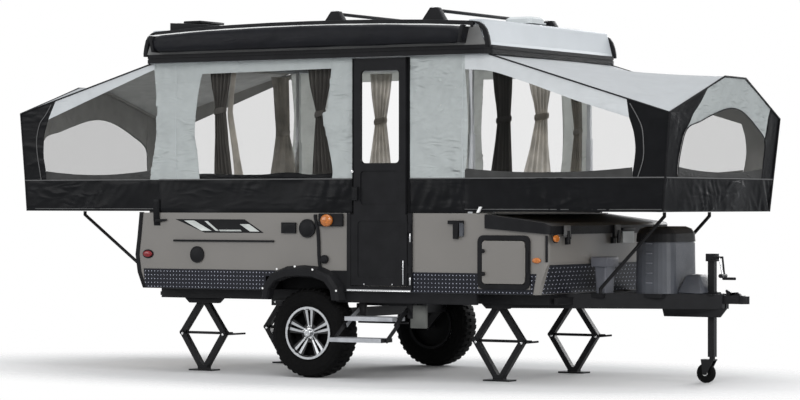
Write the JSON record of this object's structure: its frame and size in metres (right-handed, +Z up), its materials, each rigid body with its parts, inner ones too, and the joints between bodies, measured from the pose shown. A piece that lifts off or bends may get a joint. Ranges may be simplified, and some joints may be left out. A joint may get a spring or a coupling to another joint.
{
  "type": "folding camper trailer",
  "caption": "Folding camper trailer with a raised hard roof, slide-out canvas bed ends, a side door with steps, scissor jacks and a tongue jack.",
  "frame": {"origin": "middle of the parked, opened trailer, on the ground", "axes": "+X towards the coupler, +Y towards the side without the door, +Z up"},
  "size_m": [6.19, 2.47, 2.8668],
  "materials": {
    "alloy": "machined",
    "awning": "woven",
    "black": "satin black",
    "cabinet": "laminate",
    "canvas": "woven",
    "charcoal": "grained",
    "foam": "woven",
    "pale": "satin pale grey",
    "plate": "dark embossed tread plate",
    "ply": "sealed",
    "red": "clear gloss",
    "roof": "satin light grey",
    "rubber": "matte",
    "steel": "black enamel",
    "taupe": "satin grey taupe paint"
  },
  "bodies": {
    "trailer": {"awning_bag": "awning", "axle": "steel", "battery_box": "charcoal", "canvas_front": "canvas", "canvas_rear": "canvas", "canvas_wall_left": "canvas", "canvas_wall_right": "canvas", "coupler": "steel", "dinette": "cabinet", "door_frame": "black", "fender_left": "black", "fender_right": "black", "frame": "steel", "galley": "cabinet", "gas_cover": "charcoal", "hatch_frame": "black", "jack_front_left": "steel", "jack_front_right": "steel", "jack_rear_left": "steel", "jack_rear_right": "steel", "post_front_left": "alloy", "post_front_right": "alloy", "post_rear_left": "alloy", "post_rear_right": "alloy", "roof_bar_front": "black", "roof_bar_rear": "black", "roof_shell": "roof", "roof_trim": "black", "roof_vent": "pale", "step_hanger": "steel", "tail_lamp_left": "red", "tail_lamp_right": "red", "tongue_cover": "charcoal", "tongue_jack": "charcoal", "tread_plate_front": "plate", "tread_plate_left": "plate", "tread_plate_right": "plate", "trunk_lid": "black", "tub": "taupe"},
    "wheel_right": {"tyre_right": "rubber", "rim_right": "alloy"},
    "wheel_left": {"tyre_left": "rubber", "rim_left": "alloy"},
    "entry_door": {"door": "black"},
    "cargo_hatch": {"hatch_door": "taupe"},
    "upper_step": {"step_upper": "alloy"},
    "lower_step": {"step_lower": "alloy"},
    "caster_body": {"caster_fork": "steel"},
    "caster_roller": {"caster_wheel": "rubber"},
    "front_bed": {"bed_deck_front": "ply", "mattress_front": "foam", "bow_front": "alloy"},
    "rear_bed": {"bed_deck_rear": "ply", "mattress_rear": "foam", "bow_rear": "alloy"},
    "strut_front_right": {"bed_strut_front_right": "alloy"},
    "strut_front_left": {"bed_strut_front_left": "alloy"},
    "strut_rear_right": {"bed_strut_rear_right": "alloy"},
    "strut_rear_left": {"bed_strut_rear_left": "alloy"}
  },
  "joints": [
    {"name": "wheel_right_spin", "type": "hinge", "parent": "trailer", "child": "wheel_right", "pos_m": [-0.2, -0.84, 0.352], "axis": [0, 1, 0], "continuous": true},
    {"name": "wheel_left_spin", "type": "hinge", "parent": "trailer", "child": "wheel_left", "pos_m": [-0.2, 1.07, 0.352], "axis": [0, 1, 0], "continuous": true},
    {"name": "entry_door_hinge", "type": "hinge", "parent": "trailer", "child": "entry_door", "pos_m": [0.701, -0.938, 0.7332], "axis": [0, 0, 1], "range_deg": [0, 165]},
    {"name": "cargo_hatch_hinge", "type": "hinge", "parent": "trailer", "child": "cargo_hatch", "pos_m": [1.729, -0.937, 0.926], "axis": [0, 0, 1], "range_deg": [0, 120]},
    {"name": "upper_step_hinge", "type": "hinge", "parent": "trailer", "child": "upper_step", "pos_m": [0.4, -0.785, 0.56], "axis": [1, 0, 0], "range_deg": [0, 120]},
    {"name": "lower_step_hinge", "type": "hinge", "parent": "upper_step", "child": "lower_step", "pos_m": [0.4, -0.99, 0.432], "axis": [1, 0, 0], "range_deg": [-95, 0]},
    {"name": "caster_swivel", "type": "hinge", "parent": "trailer", "child": "caster_body", "pos_m": [2.79, 0.115, 0.2], "axis": [0, 0, 1], "continuous": true},
    {"name": "caster_spin", "type": "hinge", "parent": "caster_body", "child": "caster_roller", "pos_m": [2.74, 0.115, 0.076], "axis": [0, 1, 0], "continuous": true},
    {"name": "front_bed_slide", "type": "slide", "parent": "trailer", "child": "front_bed", "axis": [-1, 0, 0], "range_m": [0, 1.4], "deforming": ["canvas_front"]},
    {"name": "rear_bed_slide", "type": "slide", "parent": "trailer", "child": "rear_bed", "axis": [1, 0, 0], "range_m": [0, 1.3], "deforming": ["canvas_rear"]},
    {"name": "strut_front_right_swivel", "type": "hinge", "parent": "trailer", "child": "strut_front_right", "pos_m": [2.04, -0.28988, 0.6827], "axis": [0, 0, -1], "range_deg": [0, 90]},
    {"name": "strut_front_left_swivel", "type": "hinge", "parent": "trailer", "child": "strut_front_left", "pos_m": [2.04, 0.51988, 0.6827], "axis": [0, 0, 1], "range_deg": [0, 90]},
    {"name": "strut_rear_right_swivel", "type": "hinge", "parent": "trailer", "child": "strut_rear_right", "pos_m": [-1.935, -0.435, 0.64], "axis": [0, 0, 1], "range_deg": [0, 90]},
    {"name": "strut_rear_left_swivel", "type": "hinge", "parent": "trailer", "child": "strut_rear_left", "pos_m": [-1.935, 0.665, 0.64], "axis": [0, 0, -1], "range_deg": [0, 90]}
  ]
}
